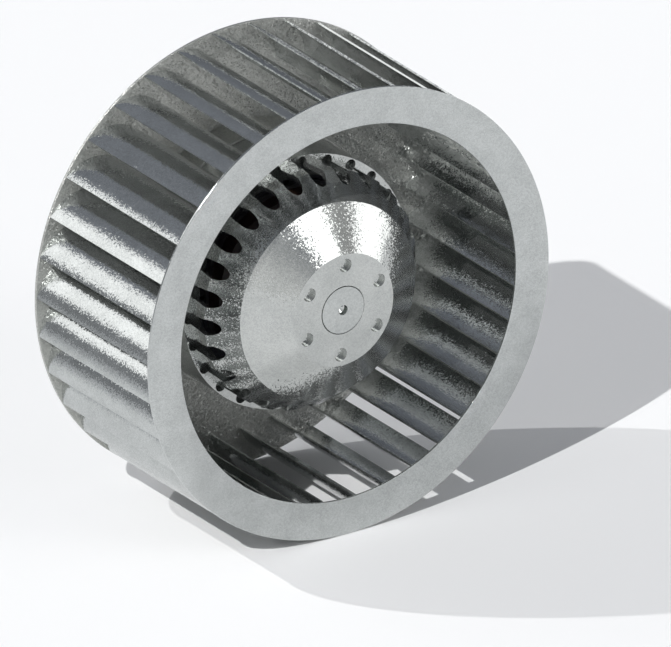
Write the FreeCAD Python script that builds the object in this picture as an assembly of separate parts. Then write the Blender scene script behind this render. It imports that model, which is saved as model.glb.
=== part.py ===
import FreeCAD, Part
import math
import os

# A motorised forward-curved centrifugal fan wheel, in millimetres.
# The axis of rotation is Y. The inlet faces -Y, +Z is up, and the origin is the centre
# of the face by which the motor is bolted down. Angles round the axis are counted from +X,
# counterclockwise as seen from the inlet, which is also the way the wheel runs.

# Wheel
wheel_diameter = 160.0
wheel_length = 67.2
mounting_setback = 4.0
blade_count = 35
blade_thickness = 0.6
blade_sweep_angle = 10.72
blade_arc_depth = 3.0
blade_first_angle = 4.38
blade_tip_inset = 0.1
ring_width = 13.1
ring_thickness = 0.8
disc_thickness = 1.0
collar_thickness = 0.8
collar_length = 14.0
collar_bend = 1.5

# Rotor bell, from its nose back
nose_setback = 3.2
nose_diameter = 40.0
nose_thickness = 3.6
cone_depth = 9.2
shoulder_depth = 10.2
shoulder_step = 7.4
neck_diameter = 90.0
neck_step = 2.6
neck_face_thickness = 2.4
bell_wall = 2.0
boss_wall = 3.75
boss_length = 13.0
pocket_count = 6
pocket_diameter = 4.8
pocket_inset = 4.0
pocket_depth = 1.8
pocket_first_angle = 26.6

# Cooling slots in the rotor bell
slot_count = 26
slot_first_angle = 86.9
slot_width = 5.8
slot_front_length = 4.8
notch_diameter = 4.0
notch_reach = 0.3

# Shaft
shaft_head_diameter = 16.5
shaft_head_reach = 0.8
shaft_step_inset = 0.5
shaft_step_length = 7.0
shaft_diameter = 8.0
shaft_tail = 3.2
head_groove_width = 0.4
head_groove_depth = 0.5
centre_hole_diameter = 3.6
centre_hole_depth = 2.0
centre_hole_tip = 1.0

# Bearings
bearing_diameter = 22.0
bearing_width = 7.0
bearing_ring_wall = 2.0
bearing_shoulder = 1.5
rear_bearing_setback = 5.2
shield_thickness = 0.4
shield_clearance = 0.15
shield_recess = 0.4

# Motor
air_gap = 0.35
core_length = 21.0
rotor_core_wall = 8.65
end_ring_length = 3.0
end_ring_wall = 6.5
end_ring_clearance = 0.4
skirt_overrun = 1.0
stator_slot_count = 12
stator_tooth_width = 5.0
stator_tooth_tip = 2.5
stator_slot_mouth = 2.0
stator_back = 4.0
insulator_thickness = 1.2
insulator_inset = 1.2
slot_insulation = 0.3
winding_overhang = 7.0
winding_chamfer = 1.6
winding_clearance = 1.0

# Stator flange with its bearing tube
flange_plate_thickness = 4.0
flange_inset = 2.5
rim_thickness = 10.0
rim_height = 3.7
tube_wall = 3.0
tube_overhang = 1.5
screw_count = 4
screw_first_angle = 45.0
screw_hole_diameter = 3.3
screw_hole_depth = 6.5
cable_hole_diameter = 9.0
cable_inset = 7.5
cable_hole_angle = 270.0
grommet_collar_width = 1.8
grommet_collar_thickness = 1.5
grommet_play = 0.1
grommet_bore_diameter = 5.2

# Small retaining parts
spring_height = 1.5
spring_thickness = 0.4
spring_width = 1.7
spring_play = 0.1
spring_waves = 3
spring_steps = 24
clip_thickness = 0.8
clip_depth = 0.6
clip_height = 1.4
clip_gap_angle = 50.0

# How far a cutting tool runs past the face that it cuts
overrun = 1.0

# Radii that several pieces share
wheel_radius = wheel_diameter / 2
ring_inner_radius = wheel_radius - ring_width
nose_radius = nose_diameter / 2
neck_radius = neck_diameter / 2
wall_radius = neck_radius - neck_step
wall_inner_radius = wall_radius - bell_wall
cone_radius = wall_radius - shoulder_step
core_outer_radius = neck_radius - bell_wall
core_inner_radius = core_outer_radius - rotor_core_wall
stator_radius = core_inner_radius - air_gap
bearing_radius = bearing_diameter / 2
tube_radius = bearing_radius + tube_wall
head_radius = shaft_head_diameter / 2
shaft_radius = shaft_diameter / 2
inner_ring_radius = shaft_radius + bearing_ring_wall
outer_ring_radius = bearing_radius - bearing_ring_wall
slot_root_radius = tube_radius + stator_back
slot_rim_radius = stator_radius - stator_tooth_tip
flange_radius = neck_radius - flange_inset
screw_circle_radius = flange_radius - rim_thickness / 2
cable_circle_radius = flange_radius - rim_thickness - cable_inset

# Places along the axis: the motor from its flange forward, the wheel from its disc forward
flange_front = -flange_plate_thickness
winding_rear = flange_front - winding_clearance
core_rear = winding_rear - winding_overhang - insulator_thickness
core_front = core_rear - core_length
winding_front = core_front - insulator_thickness - winding_overhang
skirt_rear = core_rear + end_ring_length + skirt_overrun
neck_inner = core_front - end_ring_length - end_ring_clearance
neck_face = neck_inner - neck_face_thickness
disc_rear = -mounting_setback
disc_front = disc_rear - disc_thickness
inlet_face = disc_rear - wheel_length
ring_rear = inlet_face + ring_thickness
nose_face = inlet_face + nose_setback
nose_inner = nose_face + nose_thickness
cone_rear = nose_face + cone_depth
wall_front = cone_rear + shoulder_depth
boss_rear = nose_face + boss_length
head_rear = boss_rear + shaft_head_reach
front_bearing_front = head_rear + shaft_step_length
front_bearing_rear = front_bearing_front + bearing_width
rear_bearing_rear = -rear_bearing_setback
rear_bearing_front = rear_bearing_rear - bearing_width
spring_front = rear_bearing_front - spring_height
clip_rear = rear_bearing_rear + clip_thickness
tube_front = front_bearing_front - tube_overhang

axis_back = FreeCAD.Vector(0, 1, 0)
axis_front = FreeCAD.Vector(0, -1, 0)
centre = FreeCAD.Vector(0, 0, 0)


def place(angle, radius, y):
    """Point at an angle round the axis."""
    turn = math.radians(angle)
    return FreeCAD.Vector(radius * math.cos(turn), y, radius * math.sin(turn))


def turned_copy(shape, angle):
    """Copy of a shape, turned round the axis."""
    copy = shape.copy()
    copy.rotate(centre, axis_front, angle)
    return copy


def copies_round(shape, count, first_angle):
    """Evenly spaced copies of a shape round the axis."""
    return [turned_copy(shape, first_angle + 360.0 * step / count) for step in range(count)]


def turned(corners):
    """Solid of revolution about the axis from a loop of (radius, y) corners."""
    points = [FreeCAD.Vector(radius, y, 0) for radius, y in corners]
    section = Part.Face(Part.makePolygon(points + points[:1]))
    return section.revolve(centre, axis_back, 360)


def tube(outer_radius, inner_radius, front, rear):
    """Plain tube about the axis."""
    return turned([(inner_radius, front), (outer_radius, front),
                   (outer_radius, rear), (inner_radius, rear)])


def rod(radius, angle, circle_radius, front, rear):
    """Cylinder parallel to the axis."""
    return Part.makeCylinder(radius, rear - front, place(angle, circle_radius, front), axis_back)


def many_sided(sides, flat_radius, front, rear):
    """Regular prism about the axis; the first of its flats faces +X."""
    corner_radius = flat_radius / math.cos(math.pi / sides)
    corners = [place(360.0 * (step + 0.5) / sides, corner_radius, front) for step in range(sides)]
    return Part.Face(Part.makePolygon(corners + corners[:1])).extrude(axis_back * (rear - front))


def make_front_ring():
    return tube(wheel_radius, ring_inner_radius, inlet_face, ring_rear)


def make_blades():
    """Curved sheet blades that lean forward, from the front ring to the back disc."""
    tip = place(0, wheel_radius - blade_tip_inset, ring_rear)
    root = place(-blade_sweep_angle, ring_inner_radius, ring_rear)
    chord = tip - root
    length = chord.Length
    arc_radius = (length ** 2 / 4 + blade_arc_depth ** 2) / (2 * blade_arc_depth)
    outward = FreeCAD.Vector(chord.z, 0, -chord.x)
    outward.normalize()
    middle = root + chord * 0.5
    arc_centre = middle - outward * (arc_radius - blade_arc_depth)
    crown = middle + outward * blade_arc_depth
    inner_scale = (arc_radius - blade_thickness) / arc_radius
    inner_tip, inner_crown, inner_root = [
        arc_centre + (point - arc_centre) * inner_scale for point in (tip, crown, root)]
    edges = [Part.Arc(root, crown, tip).toShape(),
             Part.LineSegment(tip, inner_tip).toShape(),
             Part.Arc(inner_tip, inner_crown, inner_root).toShape(),
             Part.LineSegment(inner_root, root).toShape()]
    blade = Part.Face(Part.Wire(edges)).extrude(axis_back * (disc_front - ring_rear))
    return copies_round(blade, blade_count, blade_first_angle)


def make_back_plate():
    """Pressed disc with a drawn collar that sits on the bell's neck."""
    collar_front = disc_rear - collar_length
    collar_radius = neck_radius + collar_thickness
    rear_bend = collar_bend + (2 - math.sqrt(2)) * collar_thickness
    return turned([(neck_radius, collar_front),
                   (collar_radius, collar_front),
                   (collar_radius, disc_front - collar_bend),
                   (collar_radius + collar_bend, disc_front),
                   (wheel_radius, disc_front),
                   (wheel_radius, disc_rear),
                   (neck_radius + rear_bend, disc_rear),
                   (neck_radius, disc_rear - rear_bend)])


def make_cooling_slot():
    """Tool that cuts one slot: its oval front in the shoulder, narrowing back to the notch."""
    half_width = slot_width / 2
    notch_radius = notch_diameter / 2
    notch_circle_radius = wall_radius + notch_reach
    cut_start = cone_radius - bell_wall
    oval = []
    for step in range(7):
        turn = math.radians(90 - 30 * step)
        oval.append(FreeCAD.Vector(cut_start, wall_front - slot_front_length * math.cos(turn),
                                   half_width * math.sin(turn)))
    arcs = [Part.Arc(*oval[first:first + 3]).toShape() for first in (0, 2, 4)]
    rows = [(neck_face, -notch_radius), (neck_inner, -notch_radius),
            (neck_inner, notch_radius), (neck_face, notch_radius)]
    corners = [FreeCAD.Vector(cut_start, y, z) for y, z in rows]
    sides = Part.makePolygon(oval[-1:] + corners + oval[:1])
    slot = Part.Face(Part.Wire(arcs + sides.Edges))
    slot = slot.extrude(FreeCAD.Vector(notch_circle_radius - cut_start, 0, 0))
    notch = rod(notch_radius, 0, notch_circle_radius, neck_face - overrun, neck_inner)
    return slot.fuse(notch).removeSplitter()


def make_rotor_bell():
    """Cast bell: nose, cone, slotted shoulder and wall, and the neck round the rotor core."""
    boss_radius = head_radius + boss_wall
    cone_angle = math.atan2(cone_radius - nose_radius, cone_depth)
    shoulder_angle = math.atan2(shoulder_step, shoulder_depth)
    bend_angle = (cone_angle + shoulder_angle) / 2
    bend_wall = bell_wall / math.cos((cone_angle - shoulder_angle) / 2)
    bell = turned([
        (head_radius, nose_face + head_groove_depth),
        (head_radius + head_groove_width, nose_face),
        (nose_radius, nose_face),
        (cone_radius, cone_rear),
        (wall_radius, wall_front),
        (wall_radius, neck_face),
        (neck_radius, neck_face),
        (neck_radius, skirt_rear),
        (core_outer_radius, skirt_rear),
        (core_outer_radius, neck_inner),
        (wall_inner_radius, neck_inner),
        (wall_inner_radius, wall_front + bell_wall * math.tan(shoulder_angle / 2)),
        (cone_radius - bend_wall * math.cos(bend_angle),
         cone_rear + bend_wall * math.sin(bend_angle)),
        (nose_radius, nose_inner),
        (boss_radius, nose_inner),
        (boss_radius, boss_rear),
        (head_radius, boss_rear)])
    cuts = copies_round(make_cooling_slot(), slot_count, slot_first_angle)
    cuts += [rod(pocket_diameter / 2, pocket_first_angle + 360.0 * step / pocket_count,
                 nose_radius - pocket_inset, nose_face - overrun, nose_face + pocket_depth)
             for step in range(pocket_count)]
    return bell.cut(cuts)


def make_shaft():
    """Steel shaft with the head that is cast into the bell, and a centre hole in its end."""
    hole_radius = centre_hole_diameter / 2
    hole_floor = nose_face + centre_hole_depth
    step_radius = inner_ring_radius - shaft_step_inset
    groove_radius = shaft_radius - clip_depth
    shaft_rear = clip_rear + shaft_tail
    return turned([
        (0, hole_floor + centre_hole_tip),
        (hole_radius, hole_floor),
        (hole_radius, nose_face),
        (head_radius, nose_face),
        (head_radius, head_rear),
        (step_radius, head_rear),
        (step_radius, front_bearing_front),
        (shaft_radius, front_bearing_front),
        (shaft_radius, rear_bearing_rear),
        (groove_radius, rear_bearing_rear),
        (groove_radius, clip_rear),
        (shaft_radius, clip_rear),
        (shaft_radius, shaft_rear),
        (0, shaft_rear)])


def make_rotor_core():
    return tube(core_outer_radius, core_inner_radius, core_front, core_rear)


def make_end_rings():
    """Short-circuit rings of the cage, cast onto both ends of the rotor core."""
    inner_radius = core_outer_radius - end_ring_wall
    front = tube(core_outer_radius, inner_radius, core_front - end_ring_length, core_front)
    rear = tube(core_outer_radius, inner_radius, core_rear, core_rear + end_ring_length)
    return [front, rear]


def make_slot_prism(front, rear, inset):
    """Prism of one winding slot between two teeth, drawn in from its walls by the inset."""
    slope = math.tan(math.pi / stator_slot_count)
    root = slot_root_radius + inset
    rim = slot_rim_radius - inset
    side = stator_tooth_width / 2 + inset
    corners = [FreeCAD.Vector(root, front, side - root * slope),
               FreeCAD.Vector(rim, front, side - rim * slope),
               FreeCAD.Vector(rim, front, rim * slope - side),
               FreeCAD.Vector(root, front, root * slope - side)]
    return Part.Face(Part.makePolygon(corners + corners[:1])).extrude(axis_back * (rear - front))


def make_stator_core():
    """Laminated core with the winding slots and their mouths."""
    core = tube(stator_radius, tube_radius, core_front, core_rear)
    mouth = Part.makeBox(stator_tooth_tip + 2 * overrun, core_length, stator_slot_mouth,
                         FreeCAD.Vector(slot_rim_radius - overrun, core_front,
                                        -stator_slot_mouth / 2))
    tool = make_slot_prism(core_front, core_rear, 0).fuse(mouth)
    return core.cut(copies_round(tool, stator_slot_count, 0))


def make_insulator(front):
    """Plastic end plate between the stator core and a winding head."""
    rear = front + insulator_thickness
    flat_radius = stator_radius - insulator_inset
    plate = many_sided(2 * stator_slot_count, flat_radius, front, rear)
    plate = plate.cut(many_sided(stator_slot_count, tube_radius, front, rear))
    return plate.cut(copies_round(make_slot_prism(front, rear, 0), stator_slot_count, 0))


def faceted_ring(rows, sides):
    """Ring with flat sides whose section is a loop of (flat radius, y) rows."""
    scale = 1 / math.cos(math.pi / sides)
    turns = [360.0 * (step + 0.5) / sides for step in range(sides)]
    loops = [[place(turn, radius * scale, y) for turn in turns] for radius, y in rows]
    faces = []
    for index, loop in enumerate(loops):
        last = loops[index - 1]
        for step in range(sides):
            corners = [last[step - 1], last[step], loop[step], loop[step - 1]]
            faces.append(Part.Face(Part.makePolygon(corners + corners[:1])))
    ring = Part.Solid(Part.Shell(faces)).removeSplitter()
    if ring.Volume < 0:
        ring.reverse()
    return ring


def make_winding():
    """Winding: a head of coil bundles at each end, joined through the stator slots."""
    sides = 2 * stator_slot_count
    inner = slot_root_radius + slot_insulation
    outer = slot_rim_radius - slot_insulation
    front = core_front - insulator_thickness
    rear = core_rear + insulator_thickness
    bars = copies_round(make_slot_prism(front, rear, slot_insulation), stator_slot_count, 0)
    heads = []
    for far, near in ((winding_front, front), (winding_rear, rear)):
        step = math.copysign(winding_chamfer, near - far)
        rows = [(inner, near), (outer, near), (outer, far + step),
                (outer - winding_chamfer, far), (inner + winding_chamfer, far),
                (inner, far + step)]
        heads.append(faceted_ring(rows, sides))
    return heads[0].fuse([heads[1]] + bars)


def make_stator_flange():
    """Cast flange with its bearing tube, screw holes and cable hole."""
    rim_front = flange_front - rim_height
    waist_radius = bearing_radius - bearing_shoulder
    flange = turned([
        (bearing_radius, tube_front),
        (tube_radius, tube_front),
        (tube_radius, flange_front),
        (flange_radius - rim_thickness, flange_front),
        (flange_radius - rim_thickness, rim_front),
        (flange_radius, rim_front),
        (flange_radius, 0),
        (bearing_radius, 0),
        (bearing_radius, spring_front),
        (waist_radius, spring_front),
        (waist_radius, front_bearing_rear),
        (bearing_radius, front_bearing_rear)])
    cuts = [rod(screw_hole_diameter / 2, screw_first_angle + 360.0 * step / screw_count,
                screw_circle_radius, -screw_hole_depth, overrun) for step in range(screw_count)]
    cuts.append(rod(cable_hole_diameter / 2, cable_hole_angle, cable_circle_radius,
                    flange_front - overrun, overrun))
    collar_radius = cable_hole_diameter / 2 + grommet_collar_width
    cuts.append(rod(collar_radius + grommet_play, cable_hole_angle, cable_circle_radius,
                    -grommet_collar_thickness, overrun))
    return flange.cut(cuts)


def make_grommet():
    """Rubber grommet in the cable hole, flush with the mounting face."""
    hole_radius = cable_hole_diameter / 2
    sleeve = rod(hole_radius, cable_hole_angle, cable_circle_radius, flange_front, 0)
    collar = rod(hole_radius + grommet_collar_width, cable_hole_angle, cable_circle_radius,
                 -grommet_collar_thickness, 0)
    bore = rod(grommet_bore_diameter / 2, cable_hole_angle, cable_circle_radius,
               flange_front - overrun, overrun)
    return sleeve.fuse(collar).cut(bore)


def make_bearing(front):
    """Shielded ball bearing: outer ring, inner ring and the two shields in the outer ring."""
    rear = front + bearing_width
    outer = tube(bearing_radius, outer_ring_radius, front, rear)
    inner = tube(inner_ring_radius, shaft_radius, front, rear)
    shield_bore = inner_ring_radius + shield_clearance
    shields = [tube(outer_ring_radius, shield_bore, start, start + shield_thickness)
               for start in (front + shield_recess, rear - shield_recess - shield_thickness)]
    return outer, inner, shields


def make_wave_spring():
    """Wave washer that preloads the rear bearing's outer ring."""
    outer = bearing_radius - spring_play
    inner = outer - spring_width
    rise = spring_height - spring_thickness
    sections = []
    for step in range(spring_steps):
        angle = 360.0 * step / spring_steps
        wave = rise * (1 + math.cos(math.radians(spring_waves * angle))) / 2
        front = spring_front + wave
        rear = front + spring_thickness
        sections.append([place(angle, inner, front), place(angle, outer, front),
                         place(angle, outer, rear), place(angle, inner, rear)])
    faces = []
    for index, section in enumerate(sections):
        last = sections[index - 1]
        for side in range(4):
            start = last[side - 1]
            end = section[side]
            faces.append(Part.Face(Part.makePolygon([start, last[side], end, start])))
            faces.append(Part.Face(Part.makePolygon([start, end, section[side - 1], start])))
    spring = Part.Solid(Part.Shell(faces))
    if spring.Volume < 0:
        spring.reverse()
    return spring


def make_shaft_clip():
    """Open retaining ring in the shaft's groove."""
    outer_radius = shaft_radius + clip_height
    ring = tube(outer_radius, shaft_radius - clip_depth, rear_bearing_rear, clip_rear)
    reach = 2 * outer_radius
    opening = Part.makePolygon([place(0, 0, rear_bearing_rear),
                                place(-clip_gap_angle / 2, reach, rear_bearing_rear),
                                place(clip_gap_angle / 2, reach, rear_bearing_rear),
                                place(0, 0, rear_bearing_rear)])
    return ring.cut(Part.Face(opening).extrude(axis_back * clip_thickness))


def save(name, shape):
    """One STEP file per node; a list of solids shares the node."""
    if isinstance(shape, (list, tuple)):
        shape = Part.makeCompound(list(shape))
    shape.exportStep(os.path.join("parts", name + ".step"))
    print(name, "solids", len(shape.Solids), "valid", shape.isValid(),
          "volume", round(shape.Volume, 1))


def main():
    os.makedirs("parts", exist_ok=True)
    save("front_ring", make_front_ring())
    save("blades", make_blades())
    save("back_plate", make_back_plate())
    save("rotor_bell", make_rotor_bell())
    save("shaft", make_shaft())
    save("rotor_core", make_rotor_core())
    save("cage_end_rings", make_end_rings())
    save("stator_core", make_stator_core())
    save("front_insulator", make_insulator(core_front - insulator_thickness))
    save("rear_insulator", make_insulator(core_rear))
    save("winding", make_winding())
    save("stator_flange", make_stator_flange())
    save("cable_grommet", make_grommet())
    for end, front in (("front", front_bearing_front), ("rear", rear_bearing_front)):
        outer, inner, shields = make_bearing(front)
        save(end + "_bearing_outer_ring", outer)
        save(end + "_bearing_inner_ring", inner)
        save(end + "_bearing_shields", shields)
    save("wave_spring", make_wave_spring())
    save("shaft_clip", make_shaft_clip())


main()
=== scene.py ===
import bpy
import bmesh
import math
from mathutils import Matrix, Vector


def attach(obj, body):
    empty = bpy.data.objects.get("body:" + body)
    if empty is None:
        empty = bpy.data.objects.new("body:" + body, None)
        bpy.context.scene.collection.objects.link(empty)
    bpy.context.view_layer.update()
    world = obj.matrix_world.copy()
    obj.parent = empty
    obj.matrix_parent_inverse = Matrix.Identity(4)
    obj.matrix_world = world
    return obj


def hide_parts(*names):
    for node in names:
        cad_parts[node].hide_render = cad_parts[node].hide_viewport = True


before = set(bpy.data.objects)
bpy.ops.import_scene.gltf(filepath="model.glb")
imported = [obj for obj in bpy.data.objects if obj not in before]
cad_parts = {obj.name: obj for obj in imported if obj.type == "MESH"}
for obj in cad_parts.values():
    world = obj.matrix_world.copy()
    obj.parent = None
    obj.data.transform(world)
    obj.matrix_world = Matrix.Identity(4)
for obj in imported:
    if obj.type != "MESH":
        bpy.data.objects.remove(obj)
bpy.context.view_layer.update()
print("frame loaded:", len(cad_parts), "nodes")
scene = bpy.context.scene
mm = 0.001


def addNode(tree, kind, inputs=None, **settings):
    # adds one node; inputs take a number, a colour or another node's socket
    node = tree.nodes.new(kind)
    for name, value in settings.items():
        setattr(node, name, value)
    for key, value in (inputs or {}).items():
        if isinstance(value, bpy.types.NodeSocket):
            tree.links.new(value, node.inputs[key])
        else:
            node.inputs[key].default_value = value
    return node


def mathNode(tree, operation, *values):
    return addNode(tree, "ShaderNodeMath", dict(enumerate(values)), operation=operation).outputs[0]


def vectorNode(tree, operation, *values):
    return addNode(tree, "ShaderNodeVectorMath", dict(enumerate(values)), operation=operation).outputs[0]


def rangeNode(tree, value, source, target, **settings):
    # maps the range source onto the range target and clamps what lies outside
    return addNode(tree, "ShaderNodeMapRange", {
        "Value": value, "From Min": source[0], "From Max": source[1],
        "To Min": target[0], "To Max": target[1]}, **settings).outputs["Result"]


def mixNode(tree, share, below, above):
    # in its colour mode the mix node's two colours are inputs 6 and 7, and the result is output 2
    return addNode(tree, "ShaderNodeMix", {0: share, 6: below, 7: above}, data_type="RGBA").outputs[2]


def hexColour(code):
    parts = [int(code[i:i + 2], 16) / 255 for i in (0, 2, 4)]
    return tuple(c / 12.92 if c <= 0.04045 else ((c + 0.055) / 1.055) ** 2.4 for c in parts) + (1.0,)


def rampNode(tree, value, tones):
    # a colour ramp through (position, hex colour) stops
    ramp = addNode(tree, "ShaderNodeValToRGB", {"Fac": value})
    stops = ramp.color_ramp.elements
    while len(stops) < len(tones):
        stops.new(0.5)
    for stop, (position, code) in zip(stops, tones):
        stop.position = position
        stop.color = hexColour(code)
    return ramp.outputs["Color"]


def shadeByAngle(mesh, degrees):
    mesh.polygons.foreach_set("use_smooth", [True] * len(mesh.polygons))
    work = bmesh.new()
    work.from_mesh(mesh)
    limit = math.radians(degrees)
    for edge in work.edges:
        if len(edge.link_faces) == 2:
            edge.smooth = edge.calc_face_angle(0) < limit
    work.to_mesh(mesh)
    work.free()


def newObject(name, mesh, material, body, smoothAngle=30):
    piece = bpy.data.objects.new(name, mesh)
    scene.collection.objects.link(piece)
    mesh.materials.clear()
    mesh.materials.append(material)
    shadeByAngle(mesh, smoothAngle)
    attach(piece, body)
    return piece


def roundedLoop(corners, steps):
    # corners are (radius, y, rounding) in mm; each rounding becomes a short arc
    points = [Vector((r, y)) for r, y, bend in corners]
    loop = []
    for i, (r, y, bend) in enumerate(corners):
        here = points[i]
        if not bend:
            loop.append(here)
            continue
        back = (points[i - 1] - here).normalized()
        ahead = (points[(i + 1) % len(points)] - here).normalized()
        half = back.angle(ahead) / 2
        reach = bend / math.tan(half)
        middle = here + (back + ahead).normalized() * (bend / math.sin(half))
        start = here + back * reach - middle
        end = here + ahead * reach - middle
        for k in range(steps + 1):
            loop.append(middle + start.slerp(end, k / steps) * bend)
    return loop


def latheMesh(name, corners, segments=288, steps=4, weld=1e-7):
    # a closed ring about the Y axis from a loop of corners; steps are those of each rounding
    loop = roundedLoop(corners, steps)
    work = bmesh.new()
    rings = []
    for k in range(segments):
        turn = 2 * math.pi * k / segments
        rings.append([work.verts.new((p.x * mm * math.cos(turn), p.y * mm, p.x * mm * math.sin(turn)))
                      for p in loop])
    count = len(loop)
    for k in range(segments):
        here, there = rings[k], rings[(k + 1) % segments]
        for i in range(count):
            j = (i + 1) % count
            work.faces.new((here[i], here[j], there[j], there[i]))
    bmesh.ops.remove_doubles(work, verts=work.verts, dist=weld)
    bmesh.ops.recalc_face_normals(work, faces=work.faces)
    mesh = bpy.data.meshes.new(name)
    work.to_mesh(mesh)
    work.free()
    return mesh


def newMaterial(name):
    material = bpy.data.materials.new(name)
    material.use_nodes = True
    tree = material.node_tree
    tree.nodes.clear()
    coords = addNode(tree, "ShaderNodeTexCoord").outputs["Object"]
    shader = addNode(tree, "ShaderNodeBsdfPrincipled")
    addNode(tree, "ShaderNodeOutputMaterial", {"Surface": shader.outputs[0]})
    return material, tree, coords, shader


# what all the metals share: the noise of the soft clouds and the part of its range that is used, and the
# crystals' lean v (small + large v v) tilt, v random from -1 to 1, so that most lean a little and a few a lot
metalGrain = {"cloudDetail": 3.0, "cloudRoughness": 0.55, "cloudRange": (0.3, 0.7),
              "leanSmall": 0.4, "leanLarge": 1.6}


def grainyMetal(name, look):
    # bare metal: each tiny crystal faces its own way, so reflections are speckled at their borders
    material, tree, coords, shader = newMaterial(name)
    crystal = addNode(tree, "ShaderNodeTexVoronoi", {"Vector": coords, "Scale": 1000 / look["crystalMm"]})
    cloud = addNode(tree, "ShaderNodeTexNoise", {
        "Vector": coords, "Scale": 1000 / look["cloudMm"], "Detail": metalGrain["cloudDetail"],
        "Roughness": metalGrain["cloudRoughness"]}).outputs[0]
    random = crystal.outputs["Color"]
    shade = addNode(tree, "ShaderNodeSeparateXYZ", {0: random}).outputs["X"]
    share = mathNode(tree, "MULTIPLY", shade, look["crystalShare"])
    tone = mathNode(tree, "MULTIPLY_ADD", cloud, 1 - look["crystalShare"], share)
    low, high = metalGrain["cloudRange"]
    colour = rampNode(tree, tone, [(low, look["dark"]), (high, look["light"])])
    rough = rangeNode(tree, cloud, (low, high), (look["roughLow"], look["roughHigh"]))
    wave = addNode(tree, "ShaderNodeBump", {"Height": cloud, "Strength": 1.0,
                                            "Distance": look["cloudMm"] * mm * look["wave"]})
    spread = vectorNode(tree, "MULTIPLY_ADD", random, (2.0,) * 3, (-1.0,) * 3)
    square = vectorNode(tree, "MULTIPLY", spread, spread)
    weight = vectorNode(tree, "MULTIPLY_ADD", square, (metalGrain["leanLarge"] * look["tilt"],) * 3,
                        (metalGrain["leanSmall"] * look["tilt"],) * 3)
    lean = vectorNode(tree, "MULTIPLY", spread, weight)
    facing = vectorNode(tree, "ADD", wave.outputs["Normal"], lean)
    facing = vectorNode(tree, "NORMALIZE", facing)
    tree.links.new(colour, shader.inputs["Base Color"])
    tree.links.new(rough, shader.inputs["Roughness"])
    tree.links.new(facing, shader.inputs["Normal"])
    shader.inputs["Metallic"].default_value = look["metallic"]  # a thin oxide skin scatters the rest
    return material


# hot-dip galvanised sheet steel: a pale neutral zinc skin of tiny crystals that sparkle at the edge of a
# highlight; the finest real crystals would be lost between pixels, so they are drawn 0.4 mm wide
galvanisedSheet = grainyMetal("galvanised sheet steel", {
    "dark": "aeb1b0", "light": "c4c7c6", "crystalMm": 0.38, "cloudMm": 9.0, "crystalShare": 0.35,
    "roughLow": 0.07, "roughHigh": 0.11, "tilt": 0.045, "wave": 0.001, "metallic": 0.94})

# the back disc's sheet has a duller zinc skin: satin and a little warmer
dullSheet = grainyMetal("dull galvanised sheet steel", {
    "dark": "b0b1ad", "light": "c6c7c3", "crystalMm": 0.4, "cloudMm": 10.0, "crystalShare": 0.6,
    "roughLow": 0.38, "roughHigh": 0.48, "tilt": 0.2, "wave": 0.001, "metallic": 0.86})

# die-cast aluminium, turned on the outside: satin, its grain as fine as the sheet's
castAluminium = grainyMetal("turned cast aluminium", {
    "dark": "aeb1af", "light": "c4c6c4", "crystalMm": 0.38, "cloudMm": 12.0, "crystalShare": 0.35,
    "roughLow": 0.09, "roughHigh": 0.13, "tilt": 0.042, "wave": 0.001, "metallic": 0.88})

# ground bearing and shaft steel: bright, nearly smooth
groundSteel = grainyMetal("ground steel", {
    "dark": "b2b5b4", "light": "c6c9c7", "crystalMm": 0.5, "cloudMm": 8.0, "crystalShare": 0.35,
    "roughLow": 0.14, "roughHigh": 0.2, "tilt": 0.03, "wave": 0.001, "metallic": 1.0})

# stacked electrical steel: dark oxide on the faces
laminationSteel = grainyMetal("stacked electrical steel", {
    "dark": "3a3c40", "light": "4c4e52", "crystalMm": 0.6, "cloudMm": 6.0, "crystalShare": 0.4,
    "roughLow": 0.42, "roughHigh": 0.58, "tilt": 0.04, "wave": 0.004, "metallic": 0.9})

# phosphated spring steel: dark grey, satin
springSteel = grainyMetal("phosphated spring steel", {
    "dark": "3c3e42", "light": "54575b", "crystalMm": 0.5, "cloudMm": 4.0, "crystalShare": 0.4,
    "roughLow": 0.38, "roughHigh": 0.5, "tilt": 0.04, "wave": 0.004, "metallic": 0.9})

# what all the plastics share: the grain's noise, the parts of its range that set tone and roughness,
# and its depth as a share of its width
plasticGrain = {"detail": 2.0, "toneRange": (0.35, 0.65), "roughRange": (0.3, 0.7), "depth": 0.25}


def dullPlastic(name, look):
    # a moulded or varnished surface that isn't metal
    material, tree, coords, shader = newMaterial(name)
    grain = addNode(tree, "ShaderNodeTexNoise", {
        "Vector": coords, "Scale": 1000 / look["grainMm"], "Detail": plasticGrain["detail"]}).outputs[0]
    low, high = plasticGrain["toneRange"]
    colour = rampNode(tree, grain, [(low, look["dark"]), (high, look["light"])])
    rough = rangeNode(tree, grain, plasticGrain["roughRange"], (look["roughLow"], look["roughHigh"]))
    bump = addNode(tree, "ShaderNodeBump", {"Height": grain, "Strength": look["bump"],
                                            "Distance": look["grainMm"] * mm * plasticGrain["depth"]})
    tree.links.new(colour, shader.inputs["Base Color"])
    tree.links.new(rough, shader.inputs["Roughness"])
    tree.links.new(bump.outputs["Normal"], shader.inputs["Normal"])
    shader.inputs["IOR"].default_value = look["ior"]
    return material


# glass-filled nylon, moulded: black, matt
glassNylon = dullPlastic("glass-filled nylon", {
    "dark": "1c1c1e", "light": "28282a", "grainMm": 0.5, "roughLow": 0.5, "roughHigh": 0.62,
    "bump": 0.3, "ior": 1.53})

# varnished winding: enamelled copper under dark brown varnish
windingVarnish = dullPlastic("varnished copper winding", {
    "dark": "1c1310", "light": "2e1e17", "grainMm": 0.8, "roughLow": 0.3, "roughHigh": 0.45,
    "bump": 0.6, "ior": 1.52})

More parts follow.
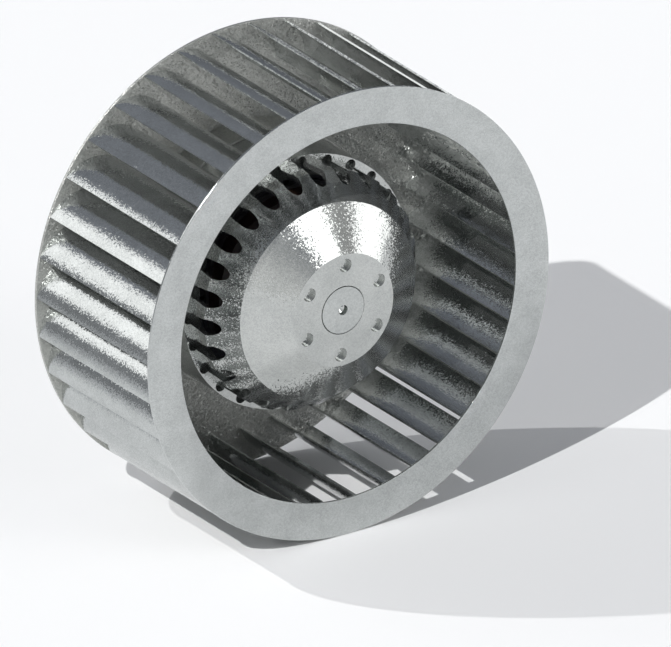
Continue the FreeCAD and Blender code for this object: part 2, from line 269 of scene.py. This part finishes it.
# moulded nitrile rubber: black, matt
blackRubber = dullPlastic("moulded rubber", {
    "dark": "141414", "light": "1e1e1e", "grainMm": 0.4, "roughLow": 0.6, "roughHigh": 0.72,
    "bump": 0.3, "ior": 1.52})

nodeMaterials = {
    "front_ring": galvanisedSheet, "blades": galvanisedSheet, "back_plate": dullSheet,
    "rotor_bell": castAluminium, "stator_flange": castAluminium, "cage_end_rings": castAluminium,
    "shaft": groundSteel, "front_bearing_outer_ring": groundSteel, "front_bearing_inner_ring": groundSteel,
    "front_bearing_shields": groundSteel, "rear_bearing_outer_ring": groundSteel,
    "rear_bearing_inner_ring": groundSteel, "rear_bearing_shields": groundSteel,
    "rotor_core": laminationSteel, "stator_core": laminationSteel,
    "front_insulator": glassNylon, "rear_insulator": glassNylon, "winding": windingVarnish,
    "cable_grommet": blackRubber, "wave_spring": springSteel, "shaft_clip": springSteel}
for nodeName, material in nodeMaterials.items():
    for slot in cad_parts[nodeName].material_slots:
        slot.material = material
print("materials:", len(bpy.data.materials))

# front ring and back disc, with the soft edges of sheared and drawn sheet; all sizes are in mm
wheel = {"radius": 80.0, "front": -71.2, "rear": -4.0}
frontRing = {"inner": 66.9, "thickness": 0.8, "edge": 0.18}
ringFront = wheel["front"]
ringRear = wheel["front"] + frontRing["thickness"]
ringMesh = latheMesh("front ring", [
    (frontRing["inner"], ringFront, frontRing["edge"]), (wheel["radius"], ringFront, frontRing["edge"]),
    (wheel["radius"], ringRear, frontRing["edge"]), (frontRing["inner"], ringRear, frontRing["edge"])])
ringPiece = newObject("front_ring_sheet", ringMesh, galvanisedSheet, "rotor")
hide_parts("front_ring")

backDisc = {"inner": 45.0, "disc": 1.0, "collar": 0.8, "collarLength": 14.0, "bend": 1.5, "edge": 0.18,
            "collarEdge": 0.15}
discFront = wheel["rear"] - backDisc["disc"]
collarOuter = backDisc["inner"] + backDisc["collar"]
collarFront = wheel["rear"] - backDisc["collarLength"]
discMesh = latheMesh("back disc", [
    (backDisc["inner"], collarFront, backDisc["collarEdge"]),
    (collarOuter, collarFront, backDisc["collarEdge"]),
    (collarOuter, discFront, backDisc["bend"]), (wheel["radius"], discFront, backDisc["edge"]),
    (wheel["radius"], wheel["rear"], backDisc["edge"]),
    (backDisc["inner"], wheel["rear"], backDisc["bend"] + backDisc["collar"])], steps=6)
discPiece = newObject("back_disc_sheet", discMesh, dullSheet, "rotor")
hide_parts("back_plate")
print("front ring and back disc made")

# blades: one curved strip, repeated round the axis by geometry nodes; angles are in degrees
bladeRing = {"count": 35, "firstAngle": 4.38, "sweep": 10.72, "depth": 3.0, "thickness": 0.6,
             "tipRadius": 79.9, "rootRadius": 66.9, "arcPoints": 21, "weld": 0.001, "smoothAngle": 50}


def roundPoint(angle, radius, y):
    turn = math.radians(angle)
    return Vector((radius * math.cos(turn), y, radius * math.sin(turn))) * mm


def buildBladeTree():
    tree = bpy.data.node_groups.new("blade ring", "GeometryNodeTree")
    face = tree.interface
    face.new_socket(name="Geometry", in_out="OUTPUT", socket_type="NodeSocketGeometry")
    for label, kind in (("Root", "Vector"), ("Crown", "Vector"), ("Tip", "Vector"), ("Length", "Float"),
                        ("Thickness", "Float"), ("Count", "Int"), ("First Angle", "Float"),
                        ("Material", "Material")):
        face.new_socket(name=label, in_out="INPUT", socket_type="NodeSocket" + kind)
    given = addNode(tree, "NodeGroupInput").outputs
    arc = addNode(tree, "GeometryNodeCurveArc", {
        "Resolution": bladeRing["arcPoints"], "Start": given["Root"], "Middle": given["Crown"],
        "End": given["Tip"]}, mode="POINTS")
    line = addNode(tree, "GeometryNodeCurveToMesh", {"Curve": arc.outputs["Curve"]})
    along = addNode(tree, "ShaderNodeCombineXYZ", {"Y": given["Length"]})
    sheet = addNode(tree, "GeometryNodeExtrudeMesh", {
        "Mesh": line.outputs["Mesh"], "Offset": along.outputs[0], "Offset Scale": 1.0}, mode="EDGES")
    shell = addNode(tree, "GeometryNodeExtrudeMesh", {
        "Mesh": sheet.outputs["Mesh"], "Individual": False, "Offset Scale": given["Thickness"]}, mode="FACES")
    back = addNode(tree, "GeometryNodeFlipFaces", {"Mesh": sheet.outputs["Mesh"]})
    both = addNode(tree, "GeometryNodeJoinGeometry")
    tree.links.new(shell.outputs["Mesh"], both.inputs[0])
    tree.links.new(back.outputs["Mesh"], both.inputs[0])
    closed = addNode(tree, "GeometryNodeMergeByDistance", {
        "Geometry": both.outputs[0], "Distance": bladeRing["weld"] * mm})
    points = addNode(tree, "GeometryNodePoints", {"Count": given["Count"]})
    index = addNode(tree, "GeometryNodeInputIndex").outputs[0]
    step = mathNode(tree, "DIVIDE", 2 * math.pi, given["Count"])
    angle = mathNode(tree, "MULTIPLY_ADD", index, step, given["First Angle"])
    euler = addNode(tree, "ShaderNodeCombineXYZ", {"Y": mathNode(tree, "MULTIPLY", angle, -1.0)})
    rotation = addNode(tree, "FunctionNodeEulerToRotation", {0: euler.outputs[0]})
    copies = addNode(tree, "GeometryNodeInstanceOnPoints", {
        "Points": points.outputs[0], "Instance": closed.outputs[0], "Rotation": rotation.outputs[0]})
    real = addNode(tree, "GeometryNodeRealizeInstances", {"Geometry": copies.outputs[0]})
    dressed = addNode(tree, "GeometryNodeSetMaterial", {
        "Geometry": real.outputs[0], "Material": given["Material"]})
    addNode(tree, "NodeGroupOutput", {0: dressed.outputs[0]})
    return tree


def meshFromTree(name, tree, values):
    # runs a tree on an empty mesh and keeps the result as a plain mesh, its faces turned outward
    holder = bpy.data.objects.new(name, bpy.data.meshes.new(name))
    scene.collection.objects.link(holder)
    modifier = holder.modifiers.new("shape", "NODES")
    modifier.node_group = tree
    for item in tree.interface.items_tree:
        if item.in_out == "INPUT" and item.name in values:
            modifier[item.identifier] = values[item.name]
    bpy.context.view_layer.update()
    graph = bpy.context.evaluated_depsgraph_get()
    mesh = bpy.data.meshes.new_from_object(holder.evaluated_get(graph), preserve_all_data_layers=True,
                                           depsgraph=graph)
    bpy.data.objects.remove(holder)
    work = bmesh.new()
    work.from_mesh(mesh)
    bmesh.ops.recalc_face_normals(work, faces=work.faces)
    work.to_mesh(mesh)
    work.free()
    return mesh


bladeTip = roundPoint(0, bladeRing["tipRadius"], ringRear)
bladeRoot = roundPoint(-bladeRing["sweep"], bladeRing["rootRadius"], ringRear)
bladeChord = bladeTip - bladeRoot
bladeOut = Vector((bladeChord.z, 0, -bladeChord.x)).normalized()
bladeCrown = bladeRoot + bladeChord / 2 + bladeOut * bladeRing["depth"] * mm
bladeMesh = meshFromTree("blades", buildBladeTree(), {
    "Root": bladeRoot, "Crown": bladeCrown, "Tip": bladeTip, "Length": (discFront - ringRear) * mm,
    "Thickness": -bladeRing["thickness"] * mm, "Count": bladeRing["count"],
    "First Angle": math.radians(bladeRing["firstAngle"]), "Material": galvanisedSheet})
bladePiece = newObject("blade_ring", bladeMesh, galvanisedSheet, "rotor",
                       bladeRing["smoothAngle"])
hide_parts("blades")
print("blades made:", len(bladeMesh.polygons), "faces")

# floor: pale, with painted shade that greys it only a good way off behind the left of the wheel, outside the
# picture, where it stands for light falling off;
# height in mm, half its side in m, and the tones lie along toward at so many m from the middle
floor = {"height": -80.0, "half": 5.0, "roughness": 0.9, "shineLevel": 0.1, "toward": (-0.616, 0.788, 0.0),
         "tones": [(0.19, "f0f0f0"), (0.3, "dcdddd"), (0.42, "cccdce"), (0.7, "b0b1b3"), (1.0, "a6a8aa")]}
floorMesh = bpy.data.meshes.new("floor")
corner = floor["half"]
level = floor["height"] * mm
floorMesh.from_pydata([(-corner, -corner, level), (corner, -corner, level), (corner, corner, level),
                       (-corner, corner, level)], [], [(0, 1, 2, 3)])
floorPiece = bpy.data.objects.new("floor", floorMesh)
scene.collection.objects.link(floorPiece)
# painted board: matt, nearly white; the greyer tones far off are painted shade, not the board's own colour
floorMaterial, tree, coords, shader = newMaterial("matt white board with painted far shade")
across = addNode(tree, "ShaderNodeVectorMath", {0: coords, 1: floor["toward"]}, operation="DOT_PRODUCT")
colour = rampNode(tree, across.outputs["Value"], floor["tones"])
tree.links.new(colour, shader.inputs["Base Color"])
shader.inputs["Roughness"].default_value = floor["roughness"]
shader.inputs["Specular IOR Level"].default_value = floor["shineLevel"]
floorMesh.materials.append(floorMaterial)

# two far lamps, each given by its direction from the object; their width as an angle in degrees
lamps = {"left lamp": {"toward": (-0.659, -0.327, 0.677), "energy": 2.55},
         "back lamp": {"toward": (-0.520, 0.542, 0.660), "energy": 1.13}}
lampPlace = {"width": 0.6, "distance": 3.0}
for name, look in lamps.items():
    lamp = bpy.data.lights.new(name, "SUN")
    lamp.energy = look["energy"]
    lamp.angle = math.radians(lampPlace["width"])
    lampPiece = bpy.data.objects.new(name, lamp)
    scene.collection.objects.link(lampPiece)
    toward = Vector(look["toward"]).normalized()
    aim = toward.to_track_quat("Z", "Y").to_matrix().to_4x4()
    lampPiece.matrix_world = Matrix.Translation(toward * lampPlace["distance"]) @ aim

# a blue-grey studio room, darker near the floor and overhead, with a pale wall low down at the front left
# and soft panels; the tones and the wall's limits are parts of a unit direction, and the panels' angles
# are in degrees (the first panel is a dim one behind the next two)
room = {"tones": [(0.0, "575b62"), (0.65, "82868f"), (0.85, "5a5e65")], "wall": "eceded",
        "wallRise": (0.04, 0.75), "wallAcross": (-0.3, 0.6), "wallAhead": (-0.3, 0.3), "wallBehindShare": 0.2,
        "panels": [{"azimuth": -50, "elevation": 14, "half": (14, 22), "strength": 0.42},
                   {"azimuth": -70, "elevation": 30, "half": (13, 10), "strength": 3.2},
                   {"azimuth": -27, "elevation": 11, "half": (13, 12), "strength": 2.4},
                   {"azimuth": 122, "elevation": 24.8, "half": (16, 11.2), "strength": 1.6}],
        "panelEdge": 1.5}
world = bpy.data.worlds.new("studio")
scene.world = world
world.use_nodes = True
tree = world.node_tree
tree.nodes.clear()
direction = addNode(tree, "ShaderNodeTexCoord").outputs["Generated"]
parts = addNode(tree, "ShaderNodeSeparateXYZ", {0: direction}).outputs
dusk = rampNode(tree, parts["Z"], room["tones"])
smooth = {"interpolation_type": "SMOOTHSTEP"}
rise = rangeNode(tree, parts["Z"], room["wallRise"], (1.0, 0.0), **smooth)
leftward = rangeNode(tree, parts["X"], room["wallAcross"], (1.0, 0.0), **smooth)
forward = rangeNode(tree, parts["Y"], room["wallAhead"], (1.0, room["wallBehindShare"]), **smooth)
wallShare = mathNode(tree, "MULTIPLY", mathNode(tree, "MULTIPLY", rise, leftward), forward)
glow = mixNode(tree, wallShare, dusk, hexColour(room["wall"]))
azimuth = mathNode(tree, "ARCTAN2", parts["Y"], parts["X"])
elevation = mathNode(tree, "ARCSINE", parts["Z"])
for panel in room["panels"]:
    inside = []
    for angle, centre, half in ((azimuth, panel["azimuth"], panel["half"][0]),
                                (elevation, panel["elevation"], panel["half"][1])):
        offset = mathNode(tree, "ABSOLUTE", mathNode(tree, "SUBTRACT", angle, math.radians(centre)))
        border = (math.radians(half - room["panelEdge"]), math.radians(half + room["panelEdge"]))
        inside.append(rangeNode(tree, offset, border, (1.0, 0.0)))
    white = (panel["strength"],) * 3 + (1.0,)
    glow = mixNode(tree, mathNode(tree, "MULTIPLY", *inside), glow, white)
shine = addNode(tree, "ShaderNodeBackground", {"Color": glow, "Strength": 1.0})
addNode(tree, "ShaderNodeOutputWorld", {"Surface": shine.outputs[0]})

# camera: a parallel view fitted to the photograph; its axes, and aim, width and distances in mm
view = {"right": (0.82797, -0.56077, 0.0), "up": (0.23116, 0.34131, 0.91108),
        "back": (-0.51090, -0.75436, 0.41222), "aim": (-4.366, -69.900, -3.032), "width": 222.0,
        "distance": 900.0, "farLimit": 20000.0}
camera = bpy.data.cameras.new("camera")
camera.type = "ORTHO"
camera.ortho_scale = view["width"] * mm
camera.clip_end = view["farLimit"] * mm
cameraPiece = bpy.data.objects.new("camera", camera)
scene.collection.objects.link(cameraPiece)
turn = Matrix((view["right"], view["up"], view["back"])).transposed().to_4x4()
place = (Vector(view["aim"]) + Vector(view["back"]) * view["distance"]) * mm
cameraPiece.matrix_world = Matrix.Translation(place) @ turn
scene.camera = cameraPiece
scene.view_settings.view_transform = "Standard"
print("stage, lamps and camera made")
